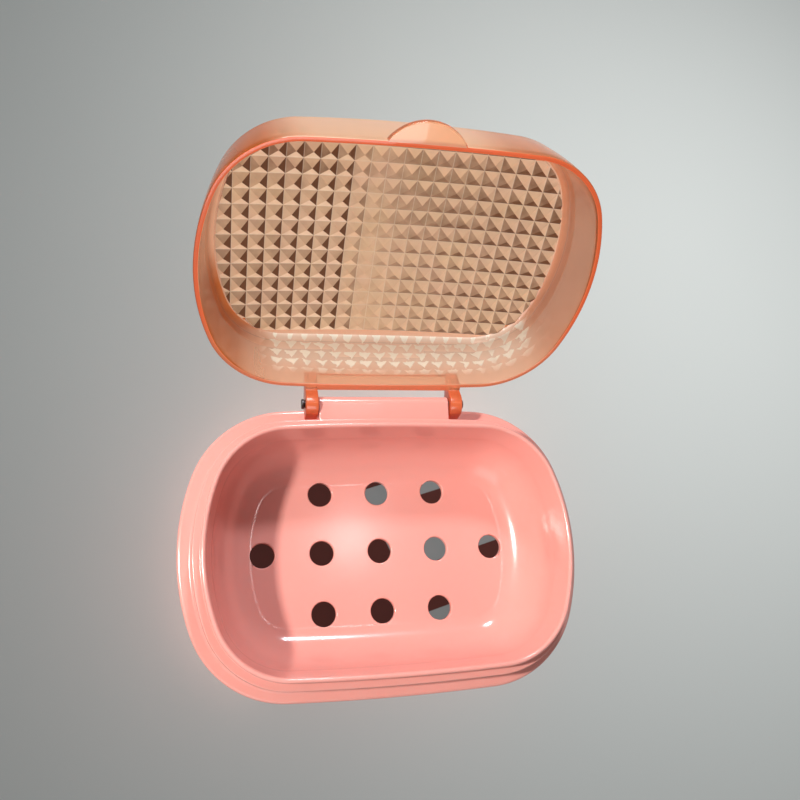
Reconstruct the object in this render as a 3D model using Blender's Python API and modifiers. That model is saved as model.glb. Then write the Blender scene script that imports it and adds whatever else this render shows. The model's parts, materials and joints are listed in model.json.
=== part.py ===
"""Flip-lid soap box: a draining base, and a clear lid that turns on two hinge pins.

Lengths are in metres and angles in degrees. +Z is up, the hinge is behind the tray (+Y), and the
origin is under the middle of the whole open box, at the height that the base stands on. The lid
is built closed and then turned back on its pins to the stop, which is how the box is shown.
"""
import math

import bmesh
import bpy
from mathutils import Matrix, Vector

# Plan outline: the tray's mouth is a rounded rectangle with bowed sides
MOUTH_HALF_WIDTH = 0.0492
MOUTH_HALF_DEPTH = 0.0322
MOUTH_END_RADIUS = 0.055
MOUTH_LONG_RADIUS = 0.690
MOUTH_CORNER_RADIUS = 0.020
MOUTH_FORWARD = 0.0007

# Base, heights
FOOT_CLEARANCE = 0.0052
BASE_WALL = 0.0016
TRAY_DEPTH = 0.0226
SEAT_BELOW_RIM = 0.0046
BRIM_BELOW_SEAT = 0.0075

# Base, plan widths measured outwards from the mouth
FLOOR_INSET = 0.0124
TRAY_FILLET_WIDTH = 0.0112
TRAY_FILLET_HEIGHT = 0.0160
RIM_WALL = 0.0014
SEAT_REACH = 0.00357
BRIM_REACH = 0.0078
BRIM_FALL = 0.0003
BRIM_EDGE_RADIUS = 0.0011
COLLAR_FILLET = 0.0008
WALL_DRAFT = 0.0003
SKIRT_DRAFT = 0.0004
EDGE_ROUND = 0.0004

# Drain holes: rows of three, five and three
DRAIN_RADIUS = 0.0035
DRAIN_PITCH = 0.017
DRAIN_ROWS = (3, 5, 3)
DRAIN_BACKWARD = 0.0004

# Hinge
HINGE_BEHIND_COLLAR = 0.0046
HINGE_BELOW_SEAT = 0.0016
BLOCK_HALF_LENGTH = 0.0188
BLOCK_BARREL_RADIUS = 0.0021
BLOCK_WEB_HEIGHT = 0.0058
BLOCK_BELOW_SEAT = 0.0002
PIN_RADIUS = 0.0010
PIN_HEAD_RADIUS = 0.0014
PIN_HEAD_LENGTH = 0.0007
PIN_GRIP = 0.0065
LUG_THICKNESS = 0.0035
LUG_RADIUS = 0.0037
LUG_ATTACH_HEIGHT = 0.0060
HEEL_DROP = 0.0022
LID_OPEN_ANGLE = 123.6

# Lid
LID_SEAT_MARGIN = 0.00027
LID_DEEPER = 0.0005
LID_WALL = 0.0013
LID_HEIGHT = 0.0213
LID_EDGE_RADIUS = 0.0032
LID_DRAFT = 0.0020
ROOF_WALL = 0.0013
ROOF_FALL_SIDES = 0.0035
ROOF_FALL_ENDS = 0.0009
TAB_RADIUS = 0.0115
TAB_REACH = 0.0050
TAB_THICKNESS = 0.0016
PAD_THICKNESS = 0.0007
PAD_HEIGHT = 0.0052

# Pyramids moulded on the underside of the roof
PYRAMID_PITCH = 0.00432
PYRAMID_HEIGHT = 0.0013
PYRAMID_COLUMNS = 22
PYRAMID_ROWS = 15
PYRAMID_FORWARD = 0.0011
PANEL_INSET = 0.0020
PANEL_STEP = 0.0003

# Clearances
RUNNING_GAP = 0.0003
SEAT_GAP = 0.0003
PRESS_GAP = 0.0003

# How finely curves are divided
CORNER_STEPS = 7
SIDE_STEPS = 4
EDGE_STEPS = 4
ROOF_STEPS = 5
FILLET_STEPS = 7
ROUND_STEPS = 24

# Worked out from the sizes above
FLOOR_TOP = FOOT_CLEARANCE + BASE_WALL
RIM_TOP = FLOOR_TOP + TRAY_DEPTH
SEAT_HEIGHT = RIM_TOP - SEAT_BELOW_RIM
BRIM_HEIGHT = SEAT_HEIGHT - BRIM_BELOW_SEAT
FILLET_RISE = min(TRAY_FILLET_HEIGHT, TRAY_DEPTH - SEAT_BELOW_RIM)
HINGE_Z = SEAT_HEIGHT - HINGE_BELOW_SEAT
BORE_RADIUS = PIN_RADIUS + PRESS_GAP
LUG_INNER = BLOCK_HALF_LENGTH + RUNNING_GAP
LUG_OUTER = LUG_INNER + LUG_THICKNESS
LID_RIM_Z = SEAT_HEIGHT + SEAT_GAP
LID_REACH = SEAT_REACH - LID_SEAT_MARGIN
LID_HALF_WIDTH = MOUTH_HALF_WIDTH + LID_REACH
LID_HALF_DEPTH = MOUTH_HALF_DEPTH + LID_REACH + LID_DEEPER
HINGE_BEHIND_TRAY = MOUTH_HALF_DEPTH + SEAT_REACH + HINGE_BEHIND_COLLAR
OPEN_TURN = math.radians(LID_OPEN_ANGLE)


def open_lid_reach():
    """How far behind the hinge the open lid reaches, with the round front edge of its roof."""
    forward = HINGE_BEHIND_TRAY + LID_HALF_DEPTH - LID_DRAFT - LID_EDGE_RADIUS
    upward = LID_RIM_Z + LID_HEIGHT - ROOF_FALL_ENDS - LID_EDGE_RADIUS - HINGE_Z
    return LID_EDGE_RADIUS - forward * math.cos(OPEN_TURN) + upward * math.sin(OPEN_TURN)


# The base lies forward of the origin by half the difference of the front and the back
BASE_FRONT = MOUTH_HALF_DEPTH + BRIM_REACH
BOX_BACK = HINGE_BEHIND_TRAY - MOUTH_FORWARD + open_lid_reach()
BASE_Y = (BASE_FRONT - BOX_BACK) / 2
TRAY_Y = BASE_Y - MOUTH_FORWARD
COLLAR_BACK = TRAY_Y + MOUTH_HALF_DEPTH + SEAT_REACH
HINGE_Y = TRAY_Y + HINGE_BEHIND_TRAY
LID_BACK = TRAY_Y + LID_HALF_DEPTH
LID_FRONT = TRAY_Y - LID_HALF_DEPTH


def arc(centre, radius, start, end, steps):
    """Points on an arc, in radians, without its last point."""
    points = []
    for step in range(steps):
        angle = start + (end - start) * step / steps
        points.append(centre + radius * Vector((math.cos(angle), math.sin(angle))))
    return points


def outline(reach, deeper=0):
    """The mouth's outline grown by reach all round, and by deeper at the front and the back."""
    half_width = MOUTH_HALF_WIDTH + reach
    half_depth = MOUTH_HALF_DEPTH + reach + deeper
    end_radius = MOUTH_END_RADIUS + reach
    long_radius = MOUTH_LONG_RADIUS + reach
    corner_radius = MOUTH_CORNER_RADIUS + reach
    end_centre = Vector((half_width - end_radius, 0))
    long_centre = Vector((0, half_depth - long_radius))
    # The corner circle touches both large circles from inside
    near = end_radius - corner_radius
    far = long_radius - corner_radius
    between = long_centre - end_centre
    along = (near ** 2 - far ** 2 + between.length_squared) / (2 * between.length)
    across = math.sqrt(near ** 2 - along ** 2)
    unit = between.normalized()
    corner = end_centre + unit * along + Vector((-unit.y, unit.x)) * across
    to_end = corner - end_centre
    to_long = corner - long_centre
    first = math.atan2(to_end.y, to_end.x)
    second = math.atan2(to_long.y, to_long.x)
    quarter = arc(end_centre, end_radius, 0, first, SIDE_STEPS)
    quarter += arc(corner, corner_radius, first, second, CORNER_STEPS)
    quarter += arc(long_centre, long_radius, second, math.pi / 2, SIDE_STEPS)
    top = Vector((0, half_depth))
    half = quarter + [top] + [Vector((-p.x, p.y)) for p in reversed(quarter)]
    lower = [Vector((p.x, -p.y)) for p in reversed(half[1:-1])]
    return half + lower


def ring(reach, z, y=TRAY_Y):
    """A level outline at height z, with its middle at y."""
    return [Vector((p.x, p.y + y, z)) for p in outline(reach)]


def lid_ring(reach, height, share=1):
    """One of the lid's outlines, shrunk to a share of itself, at a height that x and y set."""
    points = []
    for p in outline(reach, LID_DEEPER):
        q = p * share
        points.append(Vector((q.x, q.y + TRAY_Y, height(q.x, q.y))))
    return points


def collection(name):
    group = bpy.data.collections.new(name)
    bpy.context.scene.collection.children.link(group)
    return group


def add_object(name, mesh, group):
    obj = bpy.data.objects.new(name, mesh)
    group.objects.link(obj)
    return obj


def mesh_object(name, bm, group):
    """Turn a bmesh into an object with its faces pointing out."""
    bmesh.ops.recalc_face_normals(bm, faces=bm.faces)
    mesh = bpy.data.meshes.new(name)
    bm.to_mesh(mesh)
    bm.free()
    return add_object(name, mesh, group)


def hide_tool(obj):
    """Mark a shape that only cuts or is joined to another."""
    obj.hide_render = True
    obj.display_type = 'WIRE'
    return obj


def loft(name, rings, group, first_middle=None, last_middle=None):
    """Skin a chain of rings of equal count, and close both ends."""
    bm = bmesh.new()
    rows = [[bm.verts.new(p) for p in points] for points in rings]
    count = len(rows[0])
    for near, far in zip(rows, rows[1:]):
        for i in range(count):
            j = (i + 1) % count
            bm.faces.new((near[i], near[j], far[j], far[i]))
    for row, middle in ((rows[0], first_middle), (rows[-1], last_middle)):
        if middle is None:
            bm.faces.new(row)
            continue
        centre = bm.verts.new(middle)
        for i in range(count):
            bm.faces.new((row[i], row[(i + 1) % count], centre))
    return mesh_object(name, bm, group)


def prism(name, points, direction, group):
    """Extrude a flat outline, given as 3D points, along a direction."""
    bm = bmesh.new()
    face = bm.faces.new([bm.verts.new(p) for p in points])
    made = bmesh.ops.extrude_face_region(bm, geom=[face], use_keep_orig=True)
    moved = [item for item in made['geom'] if isinstance(item, bmesh.types.BMVert)]
    bmesh.ops.translate(bm, verts=moved, vec=direction)
    return mesh_object(name, bm, group)


def add_cylinder(bm, radius, length, matrix):
    bmesh.ops.create_cone(bm, cap_ends=True, segments=ROUND_STEPS, radius1=radius,
                          radius2=radius, depth=length, matrix=matrix)


def boolean(obj, tool, operation):
    modifier = obj.modifiers.new(tool.name, 'BOOLEAN')
    modifier.operation = operation
    modifier.solver = 'EXACT'
    modifier.object = tool


def material(name, colour, roughness, alpha=1.0, metallic=0.0):
    mat = bpy.data.materials.new(name)
    mat.use_nodes = True
    shader = mat.node_tree.nodes['Principled BSDF']
    shader.inputs['Base Color'].default_value = (*colour, 1.0)
    shader.inputs['Roughness'].default_value = roughness
    shader.inputs['Metallic'].default_value = metallic
    shader.inputs['Alpha'].default_value = alpha
    return mat


def smooth(obj, angle=30):
    obj.data.shade_smooth()
    obj.data.set_sharp_from_angle(angle=math.radians(angle))


# Base


def tray_fillet(wall):
    """Reach and height along the tray's hollow fillet, or along its outside at the wall."""
    points = []
    for step in range(FILLET_STEPS + 1):
        angle = math.pi / 2 * step / FILLET_STEPS
        points.append((-FLOOR_INSET + (TRAY_FILLET_WIDTH + wall) * math.sin(angle),
                       FLOOR_TOP + FILLET_RISE - (FILLET_RISE + wall) * math.cos(angle)))
    return points


def tray_reach(z):
    """Reach of the tray's inside at height z."""
    rise = z - FLOOR_TOP
    if rise >= FILLET_RISE:
        share = (TRAY_DEPTH - rise) / (TRAY_DEPTH - FILLET_RISE)
        return (TRAY_FILLET_WIDTH - FLOOR_INSET) * share
    level = 1 - rise / FILLET_RISE
    return -FLOOR_INSET + TRAY_FILLET_WIDTH * math.sqrt(1 - level ** 2)


def base_rings():
    """The base's section, from the tray floor over the rim and down to the hollow underside."""
    half_rim = RIM_WALL / 2
    rim_shoulder = RIM_TOP - half_rim
    collar_foot = SEAT_REACH + WALL_DRAFT
    collar_inner = SEAT_REACH - BASE_WALL
    groove_top = SEAT_HEIGHT - BASE_WALL
    brim_edge = BRIM_REACH - BRIM_EDGE_RADIUS
    brim_edge_z = BRIM_HEIGHT - BRIM_FALL - BRIM_EDGE_RADIUS
    slant = math.sqrt(0.5)
    section = tray_fillet(0)
    for angle in range(180, -1, -45):
        turn = math.radians(angle)
        section.append((half_rim + half_rim * math.cos(turn),
                        rim_shoulder + half_rim * math.sin(turn)))
    section += [
        (RIM_WALL, SEAT_HEIGHT),
        (SEAT_REACH - EDGE_ROUND, SEAT_HEIGHT),
        (SEAT_REACH, SEAT_HEIGHT - EDGE_ROUND),
        (collar_foot, BRIM_HEIGHT + COLLAR_FILLET),
        (collar_foot + COLLAR_FILLET * (1 - slant), BRIM_HEIGHT + COLLAR_FILLET * (1 - slant)),
        (collar_foot + COLLAR_FILLET, BRIM_HEIGHT),
    ]
    skirt = [
        (brim_edge, brim_edge_z + BRIM_EDGE_RADIUS),
        (brim_edge + BRIM_EDGE_RADIUS * slant, brim_edge_z + BRIM_EDGE_RADIUS * slant),
        (BRIM_REACH, brim_edge_z),
        (BRIM_REACH - SKIRT_DRAFT, 0),
        (BRIM_REACH - SKIRT_DRAFT - BASE_WALL, 0),
        (BRIM_REACH - BASE_WALL, brim_edge_z - BASE_WALL / 2),
    ]
    underside = [
        (collar_inner, brim_edge_z - BASE_WALL / 2),
        (collar_inner, groove_top),
        (tray_reach(groove_top) + BASE_WALL, groove_top),
    ]
    underside += [point for point in reversed(tray_fillet(BASE_WALL)) if point[1] < groove_top]
    rings = [ring(reach, z) for reach, z in section]
    rings += [ring(reach, z, BASE_Y) for reach, z in skirt]
    rings += [ring(reach, z) for reach, z in underside]
    return rings


def drain_places():
    """The middles of the drain holes, row by row."""
    places = []
    for row, count in enumerate(DRAIN_ROWS):
        y = TRAY_Y + DRAIN_BACKWARD + (row - (len(DRAIN_ROWS) - 1) / 2) * DRAIN_PITCH
        for column in range(count):
            places.append(Vector(((column - (count - 1) / 2) * DRAIN_PITCH, y, 0)))
    return places


def drain_cutter(group):
    bm = bmesh.new()
    middle = FLOOR_TOP - BASE_WALL / 2
    for place in drain_places():
        place.z = middle
        add_cylinder(bm, DRAIN_RADIUS, 4 * BASE_WALL, Matrix.Translation(place))
    return hide_tool(mesh_object('drain_cutter', bm, group))


def bore_cutter(name, inner, outer, group):
    """One cylinder on the hinge axis at each end of the hinge, from inner to outer in X."""
    bm = bmesh.new()
    for side in (-1, 1):
        centre = Vector((side * (inner + outer) / 2, HINGE_Y, HINGE_Z))
        turn = Matrix.Rotation(math.pi / 2, 4, 'Y')
        add_cylinder(bm, BORE_RADIUS, outer - inner, Matrix.Translation(centre) @ turn)
    return hide_tool(mesh_object(name, bm, group))


def hinge_block(group):
    """The block behind the collar: a barrel on the hinge axis, and the web that carries it."""
    root = COLLAR_BACK - BASE_WALL / 2
    top = SEAT_HEIGHT - BLOCK_BELOW_SEAT
    centre = Vector((HINGE_Y, HINGE_Z))
    barrel = arc(centre, BLOCK_BARREL_RADIUS, math.radians(100), math.radians(-100), 10)
    outer = [Vector((root, top))] + barrel + [Vector((root, top - BLOCK_WEB_HEIGHT))]
    points = [(-BLOCK_HALF_LENGTH, p.x, p.y) for p in outer]
    return hide_tool(prism('hinge_block', points, (2 * BLOCK_HALF_LENGTH, 0, 0), group))


def make_base(group, tools):
    base = loft('base', base_rings(), group)
    boolean(base, hinge_block(tools), 'UNION')
    boolean(base, drain_cutter(tools), 'DIFFERENCE')
    end = BLOCK_HALF_LENGTH + RUNNING_GAP
    bores = bore_cutter('base_bores', BLOCK_HALF_LENGTH - PIN_GRIP - PRESS_GAP, end, tools)
    boolean(base, bores, 'DIFFERENCE')
    base.data.materials.append(material('coral_plastic', (0.83, 0.36, 0.29), 0.25))
    smooth(base)
    return base


# Lid, built closed


def roof_height(x, y):
    """Height of the roof's outer face, which falls gently to all four sides."""
    side = (x / LID_HALF_WIDTH) ** 2
    end = (y / LID_HALF_DEPTH) ** 2
    return LID_RIM_Z + LID_HEIGHT - ROOF_FALL_SIDES * side - ROOF_FALL_ENDS * end


def lid_skin(reach, radius, depth):
    """Rings of one face of the lid, from its rim to the roof's middle, depth inside the roof."""
    def height(x, y):
        return roof_height(x, y) - depth

    rings = [lid_ring(reach, lambda x, y: LID_RIM_Z)]
    for step in range(EDGE_STEPS + 1):
        angle = math.pi / 2 * step / EDGE_STEPS
        inset = LID_DRAFT + radius * (1 - math.cos(angle))
        drop = radius * (1 - math.sin(angle))
        rings.append(lid_ring(reach - inset, lambda x, y, drop=drop: height(x, y) - drop))
    edge = reach - LID_DRAFT - radius
    for step in range(ROOF_STEPS - 1, 0, -1):
        rings.append(lid_ring(edge, height, step / ROOF_STEPS))
    return rings, Vector((0, TRAY_Y, height(0, 0)))


def lid_shell(group):
    outer, outer_top = lid_skin(LID_REACH, LID_EDGE_RADIUS, 0)
    inner, inner_top = lid_skin(LID_REACH - LID_WALL, LID_EDGE_RADIUS - LID_WALL, ROOF_WALL)
    return loft('lid', outer[::-1] + inner, group, outer_top, inner_top)


def pyramid_relief(tools):
    """Square pyramids hanging from the roof, trimmed to the panel's rounded outline."""
    bm = bmesh.new()
    # The last row or two reach past the panel and are trimmed off
    bmesh.ops.create_grid(bm, x_segments=PYRAMID_COLUMNS, y_segments=PYRAMID_ROWS, size=0.5)
    width = PYRAMID_COLUMNS * PYRAMID_PITCH
    depth = PYRAMID_ROWS * PYRAMID_PITCH
    shift = -PYRAMID_FORWARD - (PYRAMID_ROWS % 2) * PYRAMID_PITCH / 2
    for vert in bm.verts:
        x = vert.co.x * width
        y = vert.co.y * depth + shift
        vert.co = (x, y + TRAY_Y, roof_height(x, y) - ROOF_WALL - PANEL_STEP)
    under = list(bm.faces)
    made = bmesh.ops.extrude_face_region(bm, geom=under, use_keep_orig=True)
    raised = [item for item in made['geom'] if isinstance(item, bmesh.types.BMVert)]
    bmesh.ops.translate(bm, verts=raised, vec=(0, 0, PANEL_STEP + ROOF_WALL / 2))
    bmesh.ops.recalc_face_normals(bm, faces=bm.faces)
    bmesh.ops.poke(bm, faces=under, offset=PYRAMID_HEIGHT, center_mode='MEAN_WEIGHTED')
    relief = mesh_object('pyramid_relief', bm, tools)
    low = LID_RIM_Z
    panel = prism('relief_panel', ring(-PANEL_INSET, low), (0, 0, 2 * LID_HEIGHT), tools)
    boolean(relief, hide_tool(panel), 'INTERSECT')
    return hide_tool(relief)


def thumb_tab(group):
    """A part of a disc that stands out from the middle of the lid's front edge."""
    centre = Vector((0, LID_FRONT + TAB_RADIUS - TAB_REACH))
    root = LID_FRONT + LID_WALL / 2
    spread = math.acos((centre.y - root) / TAB_RADIUS)
    points = arc(centre, TAB_RADIUS, -math.pi / 2 - spread, -math.pi / 2 + spread, 16)
    points.append(centre + Vector((math.sin(spread), -math.cos(spread))) * TAB_RADIUS)
    flat = [(p.x, p.y, LID_RIM_Z) for p in points]
    return hide_tool(prism('thumb_tab', flat, (0, 0, TAB_THICKNESS), group))


def heel_point():
    """The lug's heel in the closed lid: opened, it meets the collar and stops the lid."""
    opened = Vector((RUNNING_GAP - HINGE_BEHIND_COLLAR + WALL_DRAFT, -HEEL_DROP))
    turn = Matrix.Rotation(OPEN_TURN, 2)
    return Vector((HINGE_Y, HINGE_Z)) + turn @ opened


def lug(name, start, group):
    """One lid lug, from its root on the back wall round the pin, with its stop heel."""
    centre = Vector((HINGE_Y, HINGE_Z))
    root = LID_BACK - LID_WALL / 2
    top = LID_RIM_Z + LUG_ATTACH_HEIGHT
    heel = heel_point()
    below = arc(centre, LUG_RADIUS, math.radians(180), math.radians(290), 8)
    behind = arc(centre, LUG_RADIUS, math.radians(0), math.radians(50), 4)
    outer = [Vector((root, top)), Vector((root, LID_RIM_Z))]
    outer += [Vector((HINGE_Y - LUG_RADIUS, LID_RIM_Z))]
    outer += below + [heel] + behind
    points = [(start, p.x, p.y) for p in outer]
    return hide_tool(prism(name, points, (LUG_THICKNESS, 0, 0), group))


def back_pad(group):
    """A thin pad that stiffens the back wall between the lugs."""
    root = LID_BACK - LID_WALL / 2
    face = LID_BACK + PAD_THICKNESS
    corners = ((root, 0), (face, 0), (face, PAD_HEIGHT), (root, PAD_HEIGHT))
    points = [(-LUG_INNER - LUG_THICKNESS / 2, y, LID_RIM_Z + z) for y, z in corners]
    length = 2 * LUG_INNER + LUG_THICKNESS
    return hide_tool(prism('back_pad', points, (length, 0, 0), group))


def make_lid(group, tools):
    lid = lid_shell(group)
    boolean(lid, pyramid_relief(tools), 'UNION')
    boolean(lid, thumb_tab(tools), 'UNION')
    boolean(lid, back_pad(tools), 'UNION')
    boolean(lid, lug('lug_left', -LUG_OUTER, tools), 'UNION')
    boolean(lid, lug('lug_right', LUG_INNER, tools), 'UNION')
    bores = bore_cutter('lug_bores', LUG_INNER - RUNNING_GAP, LUG_OUTER + RUNNING_GAP, tools)
    boolean(lid, bores, 'DIFFERENCE')
    lid.data.materials.append(material('clear_peach_plastic', (0.95, 0.45, 0.28), 0.08, 0.35))
    smooth(lid)
    return lid


def open_lid(lid, tools):
    """Turn the lid and all that shapes it back on the hinge axis, from closed to its stop."""
    axis = Vector((0, HINGE_Y, HINGE_Z))
    turn = Matrix.Rotation(-OPEN_TURN, 4, 'X')
    to_axis = Matrix.Translation(-axis)
    placed = Matrix.Translation(axis) @ turn
    names = ('pyramid_relief', 'relief_panel', 'thumb_tab', 'back_pad', 'lug_left', 'lug_right',
             'lug_bores')
    for obj in [lid] + [tools.objects[name] for name in names]:
        obj.data.transform(to_axis)
        obj.matrix_world = placed


# Pins


def hinge_pin(name, side, group):
    """A headed pin, turned about Z and laid along the hinge axis with its head outside."""
    head = PIN_HEAD_LENGTH
    length = LUG_THICKNESS + RUNNING_GAP + PIN_GRIP + PRESS_GAP
    profile = [(0, head), (PIN_HEAD_RADIUS, head), (PIN_HEAD_RADIUS, 0), (PIN_RADIUS, 0),
               (PIN_RADIUS, -length), (0, -length)]
    mesh = bpy.data.meshes.new(name)
    bm = bmesh.new()
    verts = [bm.verts.new((radius, 0, z)) for radius, z in profile]
    for upper, lower in zip(verts, verts[1:]):
        bm.edges.new((upper, lower))
    bm.to_mesh(mesh)
    bm.free()
    pin = add_object(name, mesh, group)
    screw = pin.modifiers.new('turn', 'SCREW')
    screw.axis = 'Z'
    screw.steps = ROUND_STEPS
    screw.render_steps = ROUND_STEPS
    screw.use_merge_vertices = True
    screw.merge_threshold = 0.00001
    pin.location = (side * (LUG_OUTER + PRESS_GAP), HINGE_Y, HINGE_Z)
    pin.rotation_euler = (0, side * math.pi / 2, 0)
    pin.data.materials.append(material('dark_steel', (0.08, 0.07, 0.07), 0.35, metallic=1.0))
    return pin


def main():
    for obj in list(bpy.data.objects):
        bpy.data.objects.remove(obj, do_unlink=True)
    parts = collection('soap_box')
    tools = collection('soap_box_tools')
    make_base(parts, tools)
    lid = make_lid(parts, tools)
    open_lid(lid, tools)
    hinge_pin('hinge_pin_left', -1, parts)
    hinge_pin('hinge_pin_right', 1, parts)


main()
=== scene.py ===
"""Looks of the flip-lid soap box: coral tray, clear faceted lid, two hinge pins and the stage.

Laid out as an add-on and run as a script. Each operator models or dresses one piece around the
packed model, whose sizes and places it keeps. Lengths are in metres and angles in degrees.
"""
import json
import math

import bmesh
import bpy
from bpy.props import FloatProperty, FloatVectorProperty, IntProperty, PointerProperty
from mathutils import Matrix, Vector


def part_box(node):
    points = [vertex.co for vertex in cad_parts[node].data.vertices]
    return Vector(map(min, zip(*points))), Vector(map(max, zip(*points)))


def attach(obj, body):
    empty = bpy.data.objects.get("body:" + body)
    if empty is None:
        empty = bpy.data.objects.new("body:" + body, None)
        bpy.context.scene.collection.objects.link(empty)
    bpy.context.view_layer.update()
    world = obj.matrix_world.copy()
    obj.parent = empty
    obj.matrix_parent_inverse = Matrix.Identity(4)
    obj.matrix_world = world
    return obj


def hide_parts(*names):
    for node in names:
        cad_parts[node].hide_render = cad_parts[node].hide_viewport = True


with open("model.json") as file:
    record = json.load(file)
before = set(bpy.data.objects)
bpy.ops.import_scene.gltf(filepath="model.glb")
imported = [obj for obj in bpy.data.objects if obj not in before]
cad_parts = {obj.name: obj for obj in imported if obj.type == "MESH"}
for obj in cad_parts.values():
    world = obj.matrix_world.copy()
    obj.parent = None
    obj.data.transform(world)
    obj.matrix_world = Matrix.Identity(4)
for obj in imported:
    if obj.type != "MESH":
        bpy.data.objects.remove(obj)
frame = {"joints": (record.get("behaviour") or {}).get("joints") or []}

bl_info = {
    "name": "Flip-Lid Soap Box",
    "version": (1, 0, 0),
    "blender": (4, 5, 0),
    "location": "View3D > Sidebar > Soap Box",
    "description": "Models the coral tray, the clear faceted lid and the hinge pins of a soap box",
    "category": "Add Mesh",
}

# What the packed model says: the base's corner, the hinge, how far the lid turns, and its bounds
BASE_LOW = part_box("base")[0]
HINGE = frame["joints"][0]
HINGE_Y, HINGE_Z = HINGE["pos_m"][1:3]
LID_TURN = math.radians(HINGE["range_deg"][1])
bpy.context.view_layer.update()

# Painted shade of the pyramids' sides that face right, left, the hinge and the tab (below zero,
# painted light), in the panel's left and right parts, and the light band between them
LEFT_TONES = (1.2, 0.22, -0.48, 0.34)
RIGHT_TONES = (0.0, 0.46, 0.66, 0.06)
BAND_X = -0.0109
BAND_TILT = -0.07
BAND_HALF = 0.009

# Half the width of the painted highlight lines between the pyramids, as a share of their pitch
VALLEY_SHARE = 0.035

# Painted glow of the lid's rim and what it loses towards the hinge, of the lugs and of the tab's
# edge
RIM_GLOW = 0.9
HINGE_LOSS = 0.45
LUG_GLOW = 0.8
TAB_GLOW = 0.3

# How thick the cloud in the lid's plastic is, and what each mark on the lid adds to it; most marks
# are painted glow, shade, light and reflection
THIN_CLOUD = 0.14
CLOUD_COVER = {"inside": 0.17, "relief": 0.22, "tone": 0.5, "glow": 0.6, "spark": 0.5,
               "stain": 0.25, "milk": 0.38, "light": 0.5}

# Where the painted reflections at the front wall's ends and the painted light on the hinge wall
# fade in, along X
FRONT_LEFT = (-0.024, -0.040)
FRONT_RIGHT = (0.008, 0.024)
SPARK_LEFT = (-0.036, -0.029)

# Painted spots of light on the hinge wall: steps across and up, wander, and height where they start
SPOT_PITCH = (0.00432, 0.0034)
SPOT_WANDER = 0.0022
SPOT_START = 0.004

# Painted shadow under the tray, seen through the drain holes: where its painted lit stripes start
# and end, the line that ends them all, and how crisp their edges are
STRIPES = (-0.0093, -0.01615, -0.022, -0.0375, -0.0515)
STRIPE_TILT = 0.28
LIT_CORNER = (-0.0035, -0.011)
LIT_TILT = 0.45
CRISP = 4000.0

# Steps along the arcs of the outline, of the tray's section and of the lid's section
SIDE_STEPS = 8
CORNER_STEPS = 22
HOLLOW_STEPS = 14
CROWN_STEPS = 8
ROUND_STEPS = 5
BRIM_STEPS = 8
RIM_STEPS = 3
WALL_STEPS = 6
ARC_STEPS = 8

# Lengths of the tools that cut the drain holes and the bores of the block and the lugs
DRAIN_CUT = 0.008
BLOCK_CUT = 0.014
LUG_CUT = 0.006

# Edges flatter than this look smooth, in degrees
SMOOTH_ANGLE = 32

# Rounding of the edges of the hinge block, the tab and the pins
BLOCK_EDGE = 0.00025
TAB_EDGE = 0.0003
PIN_EDGE = 0.0002

# Bow of the lid's upright wall, and the rings that carry its roof to the middle
WALL_BOW = 1.6
ROOF_SHARES = (0.92, 0.8, 0.65, 0.5, 0.35, 0.2, 0.08)

# Heights of the floor and of the thin disc under the tray, and the disc's thickness
FLOOR_LEVEL = -0.0002
UNDER_LEVEL = -0.0001
UNDER_WALL = 0.0001

# Slack of the tests that find the edges of the drain holes and the lid's rim, tab and lugs
HOLE_SLACK = 2e-5
MARK_SLACK = 0.0002


def length(description, default):
    """A length property, in metres."""
    return FloatProperty(description=description, default=default, unit='LENGTH', precision=5)


def colour(description, default):
    """A colour property, in linear light."""
    return FloatVectorProperty(description=description, default=default, subtype='COLOR', size=3,
                               min=0, max=1)


class PlanSizes(bpy.types.PropertyGroup):
    """The rounded outline of the tray's mouth, which every ring of the box is grown from."""
    half_width: length("Half the width of the mouth", 0.0492)
    half_depth: length("Half the depth of the mouth", 0.0322)
    end_radius: length("Bow of the short ends", 0.055)
    long_radius: length("Bow of the long sides", 0.690)
    corner_radius: length("Radius of the corners", 0.020)
    forward: length("How far the mouth lies in front of the brim's middle", 0.0007)
    brim_reach: length("From the mouth out to the brim's edge", 0.0078)


class TraySizes(bpy.types.PropertyGroup):
    """Section of the tray."""
    wall: length("Thickness of the moulding", 0.0016)
    rim_wall: length("Thickness of the rim round the mouth", 0.0014)
    foot: length("From the ground to the underside of the floor", 0.0052)
    depth: length("From the floor up to the rim", 0.0226)
    floor_inset: length("From the mouth in to the edge of the flat floor", 0.0124)
    fillet_reach: length("Width of the fillet round the floor", 0.0112)
    fillet_rise: length("Height of the fillet round the floor", 0.0160)
    seat_drop: length("From the rim down to the lid's seat", 0.0046)
    seat_reach: length("From the mouth out to the edge of the seat", 0.00357)
    brim_drop: length("From the seat down to the brim", 0.0075)
    brim_fall: length("Fall of the brim to its edge", 0.0003)
    brim_edge: length("Rounding of the brim's edge", 0.0011)
    draft: length("Taper of the upright walls", 0.0003)
    edge: length("Rounding of the seat's edge", 0.0004)
    collar_root: length("Rounding between the collar and the brim", 0.0009)
    hole_radius: length("Radius of a drain hole", 0.0035)
    hole_pitch: length("Distance between drain holes", 0.017)
    hole_shift: length("From the mouth's middle back to the holes'", 0.0004)
    hole_edge: length("Rounding of a hole's upper edge", 0.00035)
    block_half: length("Half the length of the hinge block", 0.0188)
    block_radius: length("Radius of the block round the hinge", 0.0021)
    block_web: length("Height of the web that carries the block", 0.0058)
    block_drop: length("From the seat down to the top of the block", 0.0002)


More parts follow.
